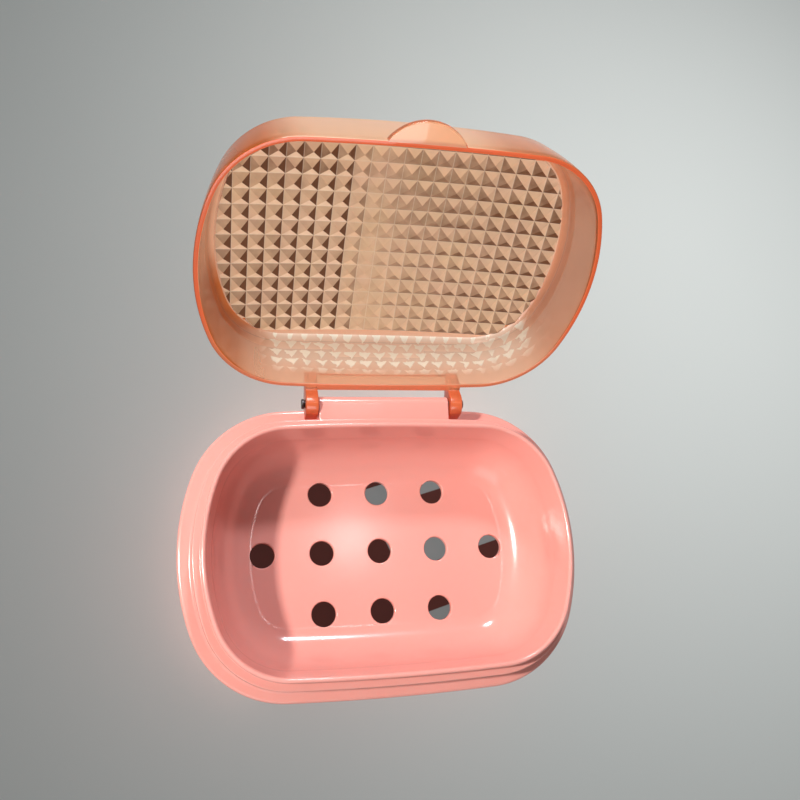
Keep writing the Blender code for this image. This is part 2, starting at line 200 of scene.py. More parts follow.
class LidSizes(bpy.types.PropertyGroup):
    """Section of the lid, its relief, its tab and its lugs."""
    wall: length("Thickness of the side wall", 0.0013)
    roof_wall: length("Thickness of the roof", 0.0013)
    reach: length("From the tray's mouth out to the lid's rim", 0.0033)
    deeper: length("What the lid adds at its front and back", 0.0005)
    seat_gap: length("Gap between the closed rim and its seat", 0.0003)
    height: length("From the rim to the middle of the roof", 0.0213)
    edge: length("Rounding between the wall and the roof", 0.0032)
    rim_edge: length("Rounding of the rim's two edges", 0.00028)
    draft: length("Taper of the wall", 0.0020)
    fall_sides: length("Fall of the roof to its left and right", 0.0035)
    fall_ends: length("Fall of the roof to its front and back", 0.0009)
    pitch: length("Width of one pyramid", 0.00432)
    pyramid: length("Height of one pyramid", 0.0013)
    columns: IntProperty(description="Pyramids across", default=22, min=1)
    rows: IntProperty(description="Pyramids from front to back", default=15, min=1)
    row_shift: length("Shift of the rows to the front", 0.0011)
    panel_inset: length("From the mouth's outline in to the relief", 0.0020)
    panel_step: length("Height of the step round the relief", 0.0003)
    tab_radius: length("Radius of the thumb tab", 0.0115)
    tab_reach: length("How far the tab stands out", 0.0050)
    tab_wall: length("Thickness of the thumb tab", 0.0016)
    pad_wall: length("Thickness of the pad between the lugs", 0.0007)
    pad_height: length("Height of the pad between the lugs", 0.0052)
    lug_inner: length("From the middle to a lug's inner face", 0.0191)
    lug_wall: length("Thickness of a lug", 0.0035)
    lug_radius: length("Radius of a lug round its pin", 0.0037)
    lug_height: length("How far up the wall a lug is joined", 0.0060)
    heel_drop: length("Height of the heel below the pin, opened", 0.0022)
    heel_reach: length("From the pin to the heel that stops the lid", 0.0040)
    lug_edge: length("Rounding of the lugs' edges", 0.00025)
    bore: length("Radius of the bore for a pin", 0.0013)


class PinSizes(bpy.types.PropertyGroup):
    """A headed hinge pin."""
    radius: length("Radius of the shank", 0.0010)
    head_radius: length("Radius of the head", 0.0014)
    head: length("Thickness of the head", 0.0007)


class Finishes(bpy.types.PropertyGroup):
    """Colours of the plastics and the steel, and of the painted glow, shade, light and reflection
    on the lid.
    """
    coral: colour("The tray's opaque plastic", (0.835, 0.357, 0.305))
    peach: colour("The lid's clear plastic", (1.0, 0.97, 0.94))
    peach_depth: colour("Colour that a thick stretch of the lid turns to", (1.0, 0.58, 0.24))
    # haze and haze_warm colour the relief's cloud as painted light on the pyramids' light sides
    haze: colour("The pyramids' light sides", (1.0, 0.68, 0.46))
    haze_warm: colour("The pyramids' light sides where they are yellower", (1.0, 0.72, 0.43))
    wall_haze: colour("The faint cloud in the lid's walls", (1.0, 0.465, 0.235))
    # blush: painted light in the lid's front and left walls and on the tab
    blush: colour("The milky cloud in the lid's front and left walls and tab", (1.0, 0.655, 0.42))
    # ember: painted glow, as if light were led out at the rim, the lugs and the tab's edge
    ember: colour("Light led out at the lid's edges", (0.82, 0.11, 0.02))
    # glint: painted highlight on the pyramids' lit sides, on the lines between them and on the
    # hinge wall
    glint: colour("Light that the pyramids catch and throw on the hinge wall", (1.0, 0.92, 0.76))
    # tea: painted shade in the lid's side walls, and painted reflection of the rim at its corners
    tea: colour("The deeper cloud in the lid's end walls and corners", (0.62, 0.15, 0.02))
    # umber: painted shade on the pyramids' shaded sides
    umber: colour("The shaded sides of the pyramids", (0.13, 0.05, 0.02))
    steel: colour("The hinge pins", (0.10, 0.09, 0.09))


class StageSizes(bpy.types.PropertyGroup):
    """Floor, lights and camera."""
    floor: length("Width of the floor", 6.0)
    floor_colour: colour("The pale floor", (0.65, 0.68, 0.665))
    # under_colour is painted shade and under_light painted light, on the disc under the tray
    under_colour: colour("The shaded floor under the tray", (0.075, 0.015, 0.010))
    under_light: colour("The lit floor under the tray", (0.24, 0.27, 0.27))
    lens: FloatProperty(description="Focal length for a 36 mm sensor", default=35.06,
                        unit='CAMERA')


GROUPS = {
    "soap_plan": PlanSizes,
    "soap_tray": TraySizes,
    "soap_lid": LidSizes,
    "soap_pins": PinSizes,
    "soap_finishes": Finishes,
    "soap_stage": StageSizes,
}


# Outline of the box


def arc(centre, radius, start, end, steps):
    """Points on an arc, in radians, without its last point."""
    angles = [start + (end - start) * step / steps for step in range(steps)]
    return [centre + radius * Vector((math.cos(angle), math.sin(angle))) for angle in angles]


def outline(plan, reach, deeper=0.0):
    """The mouth's outline grown by reach all round, and by deeper at the front and the back."""
    half_width = plan.half_width + reach
    half_depth = plan.half_depth + reach + deeper
    end_radius = plan.end_radius + reach
    long_radius = plan.long_radius + reach
    corner_radius = plan.corner_radius + reach
    end_centre = Vector((half_width - end_radius, 0))
    long_centre = Vector((0, half_depth - long_radius))
    # The corner circle touches both large circles from inside
    near = end_radius - corner_radius
    far = long_radius - corner_radius
    between = long_centre - end_centre
    along = (near ** 2 - far ** 2 + between.length_squared) / (2 * between.length)
    across = math.sqrt(near ** 2 - along ** 2)
    unit = between.normalized()
    corner = end_centre + unit * along + Vector((-unit.y, unit.x)) * across
    first = math.atan2(corner.y - end_centre.y, corner.x - end_centre.x)
    second = math.atan2(corner.y - long_centre.y, corner.x - long_centre.x)
    quarter = arc(end_centre, end_radius, 0, first, SIDE_STEPS)
    quarter += arc(corner, corner_radius, first, second, CORNER_STEPS)
    quarter += arc(long_centre, long_radius, second, math.pi / 2, SIDE_STEPS)
    half = quarter + [Vector((0, half_depth))] + [Vector((-p.x, p.y)) for p in reversed(quarter)]
    return half + [Vector((p.x, -p.y)) for p in reversed(half[1:-1])]


def base_middle(plan):
    """Where the middle of the brim lies along Y: the packed base starts at the brim's front."""
    return BASE_LOW.y + plan.half_depth + plan.brim_reach


def mouth_middle(plan):
    """Where the middle of the tray's mouth lies along Y."""
    return base_middle(plan) - plan.forward


def seat_height(tray):
    """Height of the lid's seat above the ground."""
    return tray.foot + tray.wall + tray.depth - tray.seat_drop


def lid_rim_height(scene):
    """Height of the closed lid's rim above the ground."""
    return seat_height(scene.soap_tray) + scene.soap_lid.seat_gap


def lid_half_depth(scene):
    """From the mouth's middle to the outside of the closed lid's front or back wall."""
    return scene.soap_plan.half_depth + scene.soap_lid.reach + scene.soap_lid.deeper


def ring(plan, reach, z, y):
    """A level outline at height z, with its middle at y."""
    return [Vector((p.x, p.y + y, z)) for p in outline(plan, reach)]


# Modelling tools


def deselect():
    bpy.ops.object.select_all(action='DESELECT')


def activate(obj):
    """Makes obj the only selected object, and the active one."""
    deselect()
    obj.select_set(True)
    bpy.context.view_layer.objects.active = obj


def edit(obj):
    """Opens the mesh of obj in edit mode."""
    activate(obj)
    bpy.ops.object.mode_set(mode='EDIT')


def place_selected(obj, points):
    """Moves the selected vertices, in their order, onto the points."""
    mesh = bmesh.from_edit_mesh(obj.data)
    chosen = [vert for vert in mesh.verts if vert.select]
    for vert, point in zip(chosen, points, strict=True):
        vert.co = point
    bmesh.update_edit_mesh(obj.data)


def start_ring(name, points):
    """A circle moved onto the points, left in edit mode with its loop selected."""
    deselect()
    bpy.ops.mesh.primitive_circle_add(vertices=len(points), radius=0.01)
    obj = bpy.context.object
    obj.name = name
    edit(obj)
    bpy.ops.mesh.select_all(action='SELECT')
    place_selected(obj, points)
    return obj


def select_parts(obj, kind, wanted):
    """Selects, in edit mode, only the vertices, edges or faces that pass the test."""
    bpy.ops.mesh.select_mode(type=kind)
    bpy.ops.mesh.select_all(action='DESELECT')
    mesh = bmesh.from_edit_mesh(obj.data)
    mesh.verts.index_update()
    for part in {'VERT': mesh.verts, 'EDGE': mesh.edges, 'FACE': mesh.faces}[kind]:
        if wanted(part):
            part.select = True
    mesh.select_flush_mode()
    bmesh.update_edit_mesh(obj.data)


def end_edit():
    """Leaves edit mode with the faces pointing outwards."""
    bpy.ops.mesh.select_all(action='SELECT')
    bpy.ops.mesh.normals_make_consistent()
    bpy.ops.object.mode_set(mode='OBJECT')


def loft(name, rings):
    """A skin through a chain of rings of equal count, closed at both ends."""
    obj = start_ring(name, rings[0])
    for points in rings[1:]:
        bpy.ops.mesh.extrude_region_move()
        place_selected(obj, points)
    bpy.ops.mesh.edge_face_add()
    select_parts(obj, 'VERT', lambda vert: vert.index < len(rings[0]))
    bpy.ops.mesh.edge_face_add()
    end_edit()
    return obj


def extruded_profile(name, points, direction):
    """A flat outline given a thickness along direction."""
    obj = start_ring(name, points)
    bpy.ops.mesh.edge_face_add()
    bpy.ops.mesh.extrude_region_move(TRANSFORM_OT_translate={"value": direction})
    end_edit()
    return obj


def cylinder(name, radius, depth, place, axis='Z', vertices=64):
    """A cylinder primitive along one axis."""
    deselect()
    turn = (0, math.pi / 2 if axis == 'X' else 0, 0)
    bpy.ops.mesh.primitive_cylinder_add(vertices=vertices, radius=radius, depth=depth,
                                        location=place, rotation=turn)
    obj = bpy.context.object
    obj.name = name
    bpy.ops.object.transform_apply()
    return obj


def apply_modifier(obj, kind, **settings):
    """Adds a modifier with its settings and applies it."""
    activate(obj)
    modifier = obj.modifiers.new(kind.lower(), kind)
    for name, value in settings.items():
        setattr(modifier, name, value)
    bpy.ops.object.modifier_apply(modifier=modifier.name)


def round_edges(obj, width, segments=3, angle=60):
    """Bevels the edges that are sharper than the angle."""
    apply_modifier(obj, 'BEVEL', width=width, segments=segments, limit_method='ANGLE',
                   angle_limit=math.radians(angle))


def combine(obj, tool, operation):
    """Joins, cuts or trims obj with the tool, which is used up."""
    apply_modifier(obj, 'BOOLEAN', operation=operation, solver='EXACT', object=tool)
    bpy.data.objects.remove(tool, do_unlink=True)


def bore(obj, radius, depth, x):
    """Cuts a bore along the hinge's axis, with its middle at x."""
    combine(obj, cylinder("bore", radius, depth, (x, HINGE_Y, HINGE_Z), 'X', 32), 'DIFFERENCE')


def finish_piece(obj, material, body, node):
    """Shades and dresses a piece, hangs it on the body it rides on, and hides the packed part it
    replaces.
    """
    activate(obj)
    bpy.ops.object.shade_smooth_by_angle(angle=math.radians(SMOOTH_ANGLE))
    obj.data.materials.clear()
    obj.data.materials.append(material)
    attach(obj, body)
    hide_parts(node)


# Materials


def feed(tree, socket, value):
    """Gives a socket a link or a constant."""
    if isinstance(value, Value):
        value = value.socket
    if isinstance(value, bpy.types.NodeSocket):
        tree.links.new(value, socket)
    else:
        socket.default_value = value


class Value:
    """A socket that takes part in sums; each operation adds a Math node."""

    def __init__(self, tree, socket):
        self.tree = tree
        self.socket = socket

    def math(self, operation, *values):
        node = self.tree.nodes.new('ShaderNodeMath')
        node.operation = operation
        for place, value in zip(node.inputs, values):
            feed(self.tree, place, value)
        return Value(self.tree, node.outputs[0])

    def __add__(self, other):
        return self.math('ADD', self, other)

    __radd__ = __add__

    def __sub__(self, other):
        return self.math('SUBTRACT', self, other)

    def __rsub__(self, other):
        return self.math('SUBTRACT', other, self)

    def __mul__(self, other):
        return self.math('MULTIPLY', self, other)

    def clamped(self):
        return self.math('MINIMUM', self.math('MAXIMUM', self, 0.0), 1.0)


class Recipe:
    """A material's node tree, with one method that adds any node."""

    def __init__(self, name):
        self.material = bpy.data.materials.new(name)
        self.material.use_nodes = True
        self.tree = self.material.node_tree
        self.shader = self.tree.nodes["Principled BSDF"]
        self.output = self.tree.nodes["Material Output"]

    def node(self, kind, settings=None, **sockets):
        """Adds a node, sets it up, and gives its sockets values or links; returns the node."""
        made = self.tree.nodes.new(kind)
        for name, value in (settings or {}).items():
            setattr(made, name, value)
        self.dress(made, **sockets)
        return made

    def dress(self, node, **sockets):
        """Gives the sockets of a node values or links."""
        for name, value in sockets.items():
            feed(self.tree, node.inputs[name.replace("_", " ")], value)

    def place(self):
        """The object's own coordinates, in metres."""
        return self.node('ShaderNodeTexCoord').outputs["Object"]

    def axes(self):
        """The object's own X, Y and Z as numbers."""
        parts = self.node('ShaderNodeSeparateXYZ', Vector=self.place())
        return [Value(self.tree, socket) for socket in parts.outputs]

    def noise(self, scale, detail=2.0):
        made = self.node('ShaderNodeTexNoise', Vector=self.place(), Scale=scale, Detail=detail)
        return Value(self.tree, made.outputs["Fac"])

    def attribute(self, name):
        """A number that is stored on the mesh."""
        made = self.node('ShaderNodeAttribute', {"attribute_name": name})
        return Value(self.tree, made.outputs["Fac"])

    def mix(self, factor, first, second):
        """A colour between two colours."""
        made = self.node('ShaderNodeMix', {"data_type": 'RGBA'})
        feed(self.tree, made.inputs["Factor"], factor)
        feed(self.tree, made.inputs[6], first)
        feed(self.tree, made.inputs[7], second)
        return made.outputs[2]

    def bump(self, height, strength, distance):
        made = self.node('ShaderNodeBump', Height=height, Strength=strength, Distance=distance)
        self.dress(self.shader, Normal=made.outputs["Normal"])


def rgba(value, gain=1.0):
    return tuple(min(1.0, channel * gain) for channel in value) + (1.0,)


def coral_plastic(finishes):
    """Glossy opaque moulding: faint flow mottling in its colour and gloss, and a fine grain."""
    recipe = Recipe("coral_plastic")
    flow = recipe.noise(scale=38.0, detail=3.0)
    grain = recipe.noise(scale=900.0)
    tone = recipe.mix(flow, rgba(finishes.coral, 0.95), rgba(finishes.coral, 1.05))
    recipe.dress(recipe.shader, Base_Color=tone, Roughness=flow * 0.06 + 0.12, IOR=1.5,
                 Subsurface_Weight=0.25, Subsurface_Radius=(1.0, 0.45, 0.35),
                 Subsurface_Scale=0.0015)
    recipe.bump(grain + flow * 6.0, strength=0.15, distance=0.00004)
    return recipe.material


def closed_place(recipe):
    """Where a point of the opened lid lies across, along and up when the lid is closed."""
    across, along, height = recipe.axes()
    along = along - HINGE_Y
    height = height - HINGE_Z
    closed_along = along * math.cos(LID_TURN) - height * math.sin(LID_TURN)
    closed_up = along * math.sin(LID_TURN) + height * math.cos(LID_TURN)
    return across, closed_along + HINGE_Y, closed_up + HINGE_Z


def from_line(value, pitch):
    """Distance from the nearest of a set of even lines, as a share of their pitch, up to a half."""
    steps = value * (1 / pitch) + 0.5
    # A hundred whole steps more keep the number above zero
    turn = steps.math('FRACT', steps + 100.0) - 0.5
    return turn.math('ABSOLUTE', turn)


def spots(recipe, across, up):
    """Painted light that the pyramids throw on the hinge wall: broken rows of small triangles."""
    wander = (recipe.noise(scale=420.0) - 0.5) * SPOT_WANDER
    column = from_line(across + wander, SPOT_PITCH[0])
    row = (up + wander) * (1 / SPOT_PITCH[1])
    row = row.math('FRACT', row)
    triangles = ((row * 0.5 - column) * 9.0).clamped() * ((0.93 - row) * 20.0).clamped()
    patch = (recipe.noise(scale=130.0) * 4.5 - 1.2).clamped()
    return triangles * patch


def peach_plastic(scene):
    """Clear tinted moulding with painted glow at its edges, painted shade and light on each side of
    a pyramid, and painted shade, light and reflection in its walls.
    """
    finishes = scene.soap_finishes
    lid = scene.soap_lid
    recipe = Recipe("clear_peach_plastic")
    flow = recipe.noise(scale=60.0)
    recipe.dress(recipe.shader, Base_Color=rgba(finishes.peach), Roughness=flow * 0.05 + 0.015,
                 IOR=1.49, Transmission_Weight=1.0)
    across, along, up = closed_place(recipe)
    marks = {name: recipe.attribute(name) for name in ("glow", "relief", "inside", "stain", "milk")}
    relief = marks["relief"]
    mottle = recipe.noise(scale=330.0) - 0.5
    # Painted shade on the pyramids' sides, from the value stored on each face; below zero it is
    # painted light
    shade = (recipe.attribute("tone") + mottle * 0.40 + 0.13) * relief
    marks["tone"] = shade.clamped()
    marks["light"] = (shade * -1.0).clamped()
    # Painted highlight lines along the valleys between the pyramids
    rows = from_line(along - relief_middle(scene), lid.pitch)
    line = ((VALLEY_SHARE - from_line(across, lid.pitch)) * 30.0).clamped() * 0.25
    line = line.math('MAXIMUM', line, ((VALLEY_SHARE - rows) * 30.0).clamped() * 0.2) * relief
    # Painted light on the hinge wall: spots above a start height, and an even wash
    above_rim = up - lid_rim_height(scene)
    high = ((above_rim - SPOT_START) * 160.0).clamped()
    thrown = spots(recipe, across, above_rim) * high * 1.3 + high * 0.45 + 0.15
    marks["spark"] = recipe.attribute("spark") * thrown
    # The relief's cloud takes the painted light of the pyramids' light sides, yellower at random
    yellower = (recipe.noise(scale=110.0) * 2.0 - 0.5).clamped()
    pale = recipe.mix(yellower, rgba(finishes.haze), rgba(finishes.haze_warm))
    cloud = recipe.mix(relief, rgba(finishes.wall_haze), pale)
    # Painted shade and reflection, painted light, painted facet shade, painted glow and painted
    # highlights laid over the cloud
    for share, tint in ((marks["stain"].clamped(), finishes.tea), (marks["milk"], finishes.blush),
                        (marks["tone"], finishes.umber), (marks["glow"], finishes.ember),
                        ((line + marks["spark"] + marks["light"]).clamped(), finishes.glint)):
        cloud = recipe.mix(share, cloud, rgba(tint))
    cover = flow * 0.06 + THIN_CLOUD
    for name, amount in CLOUD_COVER.items():
        cover = cover + marks[name] * amount
    haze = recipe.node('ShaderNodeBsdfPrincipled', Base_Color=cloud, Roughness=0.3, IOR=1.49)
    both = recipe.node('ShaderNodeMixShader', Fac=cover.clamped())
    depth = recipe.node('ShaderNodeVolumeAbsorption', Color=rgba(finishes.peach_depth),
                        Density=450.0)
    feed(recipe.tree, both.inputs[1], recipe.shader.outputs[0])
    feed(recipe.tree, both.inputs[2], haze.outputs[0])
    recipe.dress(recipe.output, Surface=both.outputs[0], Volume=depth.outputs[0])
    return recipe.material


def dark_steel(finishes):
    """Dark drawn wire with a fine grain and a dull sheen."""
    recipe = Recipe("dark_steel")
    grain = recipe.noise(scale=2600.0, detail=3.0)
    tone = recipe.mix(grain, rgba(finishes.steel, 0.7), rgba(finishes.steel, 1.4))
    recipe.dress(recipe.shader, Base_Color=tone, Roughness=grain * 0.25 + 0.25, Metallic=1.0)
    recipe.bump(grain, strength=0.3, distance=0.00003)
    return recipe.material


def floor_paint(stage):
    """Matt pale floor."""
    recipe = Recipe("floor_paint")
    cloud = recipe.noise(scale=9.0)
    tone = recipe.mix(cloud, rgba(stage.floor_colour, 0.98), rgba(stage.floor_colour, 1.02))
    recipe.dress(recipe.shader, Base_Color=tone, Roughness=0.9, Specular_IOR_Level=0.1)
    return recipe.material


def shade_paint(stage):
    """Painted shadow on a disc under the tray: warm painted shade, with grey stripes of painted
    light at the right.
    """
    recipe = Recipe("shade_paint")
    across, along, _ = recipe.axes()
    line = along - across * STRIPE_TILT
    lit = ((across + (along - LIT_CORNER[1]) * LIT_TILT - LIT_CORNER[0]) * CRISP).clamped()
    stripes = 0.0
    for number, start in enumerate(STRIPES):
        stripes = stripes + ((start - line) * CRISP).clamped() * (1.0, -1.0)[number % 2]
    tone = recipe.mix(stripes * lit, rgba(stage.under_colour), rgba(stage.under_light))
    recipe.dress(recipe.shader, Base_Color=tone, Roughness=0.9)
    return recipe.material


# Tray


def offset_section(section, distance):
    """The section moved sideways by distance, to the right of its direction."""
    moved = []
    for index, point in enumerate(section):
        before = section[max(index - 1, 0)]
        after = section[min(index + 1, len(section) - 1)]
        way = (after - before).normalized()
        moved.append(point + Vector((way.y, -way.x)) * distance)
    return moved


def tray_hollow(tray):
    """Section of the tray's fillet, from the edge of the flat floor up to the wall."""
    floor = tray.foot + tray.wall
    angles = [math.pi / 2 * step / HOLLOW_STEPS for step in range(HOLLOW_STEPS + 1)]
    return [Vector((-tray.floor_inset + tray.fillet_reach * math.sin(angle),
                    floor + tray.fillet_rise * (1 - math.cos(angle)))) for angle in angles]


def round_corner(corner, before, after, radius, steps=ROUND_STEPS):
    """Points that round a corner of a section between its two neighbours."""
    first = (before - corner).normalized()
    second = (after - corner).normalized()
    start = corner + first * radius
    end = corner + second * radius
    shares = [step / steps for step in range(steps + 1)]
    return [start * (1 - share) ** 2 + corner * (2 * share * (1 - share)) + end * share ** 2
            for share in shares]


def tray_rings(plan, tray):
    """The tray's rings, from the floor over the rim, down the skirt and up the underside."""
    rim = tray.foot + tray.wall + tray.depth
    seat = seat_height(tray)
    brim = seat - tray.brim_drop
    brim_edge = brim - tray.brim_fall
    foot = plan.brim_reach - tray.draft
    root = tray.seat_reach - tray.wall
    half = tray.rim_wall / 2
    mouth = mouth_middle(plan)
    hollow = tray_hollow(tray)
    crown = []
    for step in range(CROWN_STEPS + 1):
        turn = math.pi * (1 - step / CROWN_STEPS)
        crown.append(Vector((half + half * math.cos(turn), rim - half + half * math.sin(turn))))
    # Down the outside to the skirt's foot, and up its inside to the collar
    path = [Vector(point) for point in (
        (tray.rim_wall, rim), (tray.rim_wall, seat), (tray.seat_reach, seat),
        (tray.seat_reach + tray.draft, brim), (plan.brim_reach, brim_edge), (foot, 0),
        (foot - tray.wall, 0), (plan.brim_reach - tray.wall, brim_edge - tray.wall),
        (root, brim_edge - tray.wall))]
    rounding = ((tray.edge,), (tray.edge,), (tray.collar_root,), (tray.brim_edge, BRIM_STEPS),
                (tray.edge,), (tray.edge,), (tray.brim_edge / 2,))
    corners = [round_corner(corner, before, after, *size)
               for before, corner, after, size in zip(path, path[1:], path[2:], rounding)]
    bowl = offset_section(hollow, tray.wall)
    under_seat = seat - tray.wall
    under = [path[-1], Vector((root, under_seat)), Vector((max(bowl[-1].x, half), under_seat))]
    under += [p for p in reversed(bowl) if p.y < under_seat]
    rings = [ring(plan, p.x, p.y, mouth) for p in hollow + crown + sum(corners[:3], [])]
    rings += [ring(plan, p.x, p.y, base_middle(plan)) for p in sum(corners[3:], [])]
    rings += [ring(plan, p.x, p.y, mouth) for p in under]
    return rings


def hole_places(plan, tray):
    """The middles of the drain holes, in rows of three, five and three."""
    y = mouth_middle(plan) + tray.hole_shift
    return [Vector(((column - (count - 1) / 2) * tray.hole_pitch, y + (row - 1) * tray.hole_pitch))
            for row, count in enumerate((3, 5, 3)) for column in range(count)]


def round_hole_edges(obj, tray, places):
    """Bevels the upper edges of the drain holes."""
    floor = tray.foot + tray.wall

    def wanted(edge):
        ends = [vert.co for vert in edge.verts]
        if any(abs(co.z - floor) > HOLE_SLACK for co in ends):
            return False
        near = min(places, key=lambda place: (ends[0].xy - place).length)
        return all(abs((co.xy - near).length - tray.hole_radius) < HOLE_SLACK for co in ends)

    edit(obj)
    select_parts(obj, 'EDGE', wanted)
    bpy.ops.mesh.bevel(offset=tray.hole_edge, segments=3, affect='EDGES')
    bpy.ops.mesh.select_mode(type='VERT')
    bpy.ops.object.mode_set(mode='OBJECT')


def hinge_block(plan, tray):
    """The block behind the collar: a barrel on the hinge axis, and the web that carries it."""
    root = mouth_middle(plan) + plan.half_depth + tray.seat_reach - tray.wall / 2
    top = seat_height(tray) - tray.block_drop
    centre = Vector((HINGE_Y, HINGE_Z))
    barrel = arc(centre, tray.block_radius, math.radians(100), math.radians(-100), 24)
    profile = [Vector((root, top))] + barrel + [Vector((root, top - tray.block_web))]
    points = [(-tray.block_half, p.x, p.y) for p in profile]
    block = extruded_profile("hinge_block", points, (2 * tray.block_half, 0, 0))
    round_edges(block, BLOCK_EDGE)
    return block


class OBJECT_OT_soap_tray(bpy.types.Operator):
    """Model the coral draining tray with its seat, skirt and hinge block"""
    bl_idname = "object.soap_tray"
    bl_label = "Tray"

    def execute(self, context):
        plan = context.scene.soap_plan
        tray = context.scene.soap_tray
        obj = loft("tray", tray_rings(plan, tray))
        places = hole_places(plan, tray)
        for place in places:
            drain = cylinder("drain", tray.hole_radius, DRAIN_CUT, (*place, tray.foot))
            combine(obj, drain, 'DIFFERENCE')
        round_hole_edges(obj, tray, places)
        combine(obj, hinge_block(plan, tray), 'UNION')
        for side in (-1, 1):
            bore(obj, context.scene.soap_lid.bore, BLOCK_CUT, side * tray.block_half)
        finish_piece(obj, coral_plastic(context.scene.soap_finishes), "base", "base")
        apply_modifier(obj, 'WEIGHTED_NORMAL', keep_sharp=True)
        return {'FINISHED'}


# Lid


def roof_height(scene, x, y):
    """Height of the closed lid's outer face at a place measured from the mouth's middle."""
    lid = scene.soap_lid
    plan = scene.soap_plan
    side = (x / (plan.half_width + lid.reach)) ** 2
    end = (y / lid_half_depth(scene)) ** 2
    return lid_rim_height(scene) + lid.height - lid.fall_sides * side - lid.fall_ends * end


def lid_ring(scene, reach, height, share=1.0):
    """One of the closed lid's outlines at a height that depends on the place."""
    mouth = mouth_middle(scene.soap_plan)
    places = [p * share for p in outline(scene.soap_plan, reach, scene.soap_lid.deeper)]
    return [Vector((p.x, p.y + mouth, height(p.x, p.y))) for p in places]


def lid_skin(scene, reach, radius, depth, side):
    """Rings of one face of the lid, from its rim to near the roof's middle.

    side is 1 for the outer face and -1 for the inner one.
    """
    lid = scene.soap_lid

    def height(x, y):
        return roof_height(scene, x, y) - depth

    rim = lid_rim_height(scene)
    rings = []
    for step in range(RIM_STEPS + 1):
        turn = math.pi / 2 * step / RIM_STEPS
        inset = side * lid.rim_edge * (1 - math.sin(turn))
        up = lid.rim_edge * (1 - math.cos(turn))
        rings.append(lid_ring(scene, reach - inset, lambda x, y, up=up: rim + up))
    for step in range(1, WALL_STEPS):
        share = step / WALL_STEPS
        rings.append(lid_ring(
            scene, reach - lid.draft * share ** WALL_BOW,
            lambda x, y, share=share: rim + (height(x, y) - radius - rim) * share))
    for step in range(ARC_STEPS + 1):
        angle = math.pi / 2 * step / ARC_STEPS
        inset = lid.draft + radius * (1 - math.cos(angle))
        drop = radius * (1 - math.sin(angle))
        rings.append(lid_ring(scene, reach - inset, lambda x, y, drop=drop: height(x, y) - drop))
    edge = reach - lid.draft - radius
    for share in ROOF_SHARES:
        rings.append(lid_ring(scene, edge, height, share))
    return rings


def relief_middle(scene):
    """A line between two rows of pyramids, near the middle of the lid, along Y."""
    return mouth_middle(scene.soap_plan) - scene.soap_lid.row_shift


def pyramid_relief(scene):
    """Square pyramids hanging from the roof, trimmed to the panel's rounded outline."""
    lid = scene.soap_lid
    mouth = mouth_middle(scene.soap_plan)
    deselect()
    bpy.ops.mesh.primitive_grid_add(x_subdivisions=lid.columns, y_subdivisions=lid.rows, size=1)
    relief = bpy.context.object
    relief.name = "relief"
    edit(relief)
    mesh = bmesh.from_edit_mesh(relief.data)
    shift = relief_middle(scene) - mouth - (lid.rows % 2) * lid.pitch / 2
    for vert in mesh.verts:
        x = vert.co.x * lid.columns * lid.pitch
        y = vert.co.y * lid.rows * lid.pitch + shift
        vert.co = (x, y + mouth, roof_height(scene, x, y) - lid.roof_wall - lid.panel_step)
    bmesh.update_edit_mesh(relief.data)
    bpy.ops.mesh.select_all(action='SELECT')
    bpy.ops.mesh.flip_normals()
    bpy.ops.mesh.duplicate()
    bpy.ops.transform.translate(value=(0, 0, lid.panel_step + lid.roof_wall / 2))
    bpy.ops.mesh.flip_normals()
    bpy.ops.mesh.select_mode(type='EDGE')
    bpy.ops.mesh.select_all(action='DESELECT')
    bpy.ops.mesh.select_non_manifold()
    bpy.ops.mesh.bridge_edge_loops()
    bpy.ops.mesh.select_mode(type='FACE')
    bpy.ops.mesh.select_all(action='SELECT')
    bpy.ops.mesh.normals_make_consistent()
    select_parts(relief, 'FACE', lambda face: face.normal.z < -0.7)
    bpy.ops.mesh.poke(offset=lid.pyramid)
    bpy.ops.mesh.select_mode(type='VERT')
    bpy.ops.object.mode_set(mode='OBJECT')
    rim = lid_rim_height(scene)
    panel = extruded_profile("panel", lid_ring(scene, -lid.panel_inset, lambda x, y: rim),
                             (0, 0, 2 * lid.height))
    combine(relief, panel, 'INTERSECT')
    return relief


def thumb_tab(scene):
    """A part of a disc that stands out from the middle of the lid's front edge."""
    lid = scene.soap_lid
    front = mouth_middle(scene.soap_plan) - lid_half_depth(scene)
    rim = lid_rim_height(scene)
    centre = Vector((0, front + lid.tab_radius - lid.tab_reach))
    root = front + lid.wall / 2
    spread = math.acos((centre.y - root) / lid.tab_radius)
    points = arc(centre, lid.tab_radius, -math.pi / 2 - spread, -math.pi / 2 + spread, 40)
    points.append(centre + Vector((math.sin(spread), -math.cos(spread))) * lid.tab_radius)
    tab = extruded_profile("tab", [(p.x, p.y, rim) for p in points], (0, 0, lid.tab_wall))
    round_edges(tab, TAB_EDGE)
    return tab


def lid_lug(scene, start):
    """One lid lug, from its root on the back wall round the pin, with its stop heel."""
    lid = scene.soap_lid
    back = mouth_middle(scene.soap_plan) + lid_half_depth(scene)
    rim = lid_rim_height(scene)
    centre = Vector((HINGE_Y, HINGE_Z))
    root = back - lid.wall / 2
    turn = Matrix.Rotation(LID_TURN, 2)
    heel = centre + turn @ Vector((-lid.heel_reach, -lid.heel_drop))
    profile = [Vector((root, rim + lid.lug_height)), Vector((root, rim)),
               Vector((HINGE_Y - lid.lug_radius, rim))]
    profile += arc(centre, lid.lug_radius, math.radians(180), math.radians(290), 16)
    profile += [heel]
    profile += arc(centre, lid.lug_radius, 0, math.radians(50), 8)
    lug = extruded_profile("lug", [(start, p.x, p.y) for p in profile], (lid.lug_wall, 0, 0))
    round_edges(lug, lid.lug_edge)
    return lug


